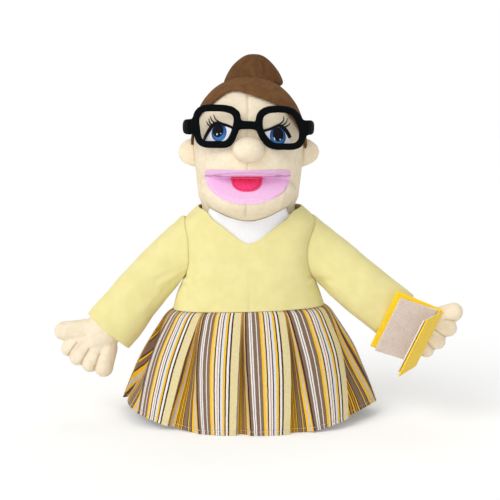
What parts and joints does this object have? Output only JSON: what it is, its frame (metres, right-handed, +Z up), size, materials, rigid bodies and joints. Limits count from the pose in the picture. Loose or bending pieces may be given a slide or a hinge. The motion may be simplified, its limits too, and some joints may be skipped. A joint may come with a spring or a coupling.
{
  "type": "teacher hand puppet",
  "caption": "Plush teacher glove puppet with an open mouth, cloth glasses, jersey top and pleated striped skirt, open at the hem for the hand, a felt book in one hand.",
  "frame": {"origin": "middle of the hand opening at the skirt's hem, on the plane that the hem rests on", "axes": "+Z up, the puppet faces -Y, +X to the right of the viewer in front of it"},
  "size_m": [0.4069, 0.1898, 0.3592],
  "materials": {
    "cream_plush": "short pile",
    "brown_plush": "short pile",
    "yellow_jersey": "fine knit",
    "striped_cotton": "printed stripes",
    "white_cotton": "plain weave",
    "pink_felt": "felt",
    "hot_pink_felt": "felt",
    "black_cloth": "matte",
    "blue_thread": "satin stitch",
    "black_thread": "satin stitch",
    "white_thread": "satin stitch",
    "yellow_felt": "felt",
    "page_felt": "felt"
  },
  "bodies": {
    "puppet": {"head": "cream_plush", "nose": "cream_plush", "ear_left": "cream_plush", "ear_right": "cream_plush", "hair_cap": "brown_plush", "hair_bun": "brown_plush", "eye_white_left": "white_thread", "eye_white_right": "white_thread", "iris_left": "blue_thread", "iris_right": "blue_thread", "pupil_left": "black_thread", "pupil_right": "black_thread", "lash_line_left": "black_thread", "lash_line_right": "black_thread", "glasses_frame": "black_cloth", "mouth_lining": "pink_felt", "tongue": "hot_pink_felt", "shirt_inset": "white_cotton", "bodice": "yellow_jersey", "sleeve_left": "yellow_jersey", "sleeve_right": "yellow_jersey", "hand_left": "cream_plush", "hand_right": "cream_plush", "skirt": "striped_cotton", "book_back_cover": "yellow_felt", "book_page_back": "page_felt"},
    "book_cover": {"book_front_cover": "yellow_felt", "book_page_front": "page_felt"}
  },
  "joints": [
    {"name": "book_cover_hinge", "type": "hinge", "parent": "puppet", "child": "book_cover", "pos_m": [0.17396, -0.036, 0.08241], "axis": [0.3732, -0.2501, 0.8934], "range_deg": [-62.3, 113.7]}
  ]
}
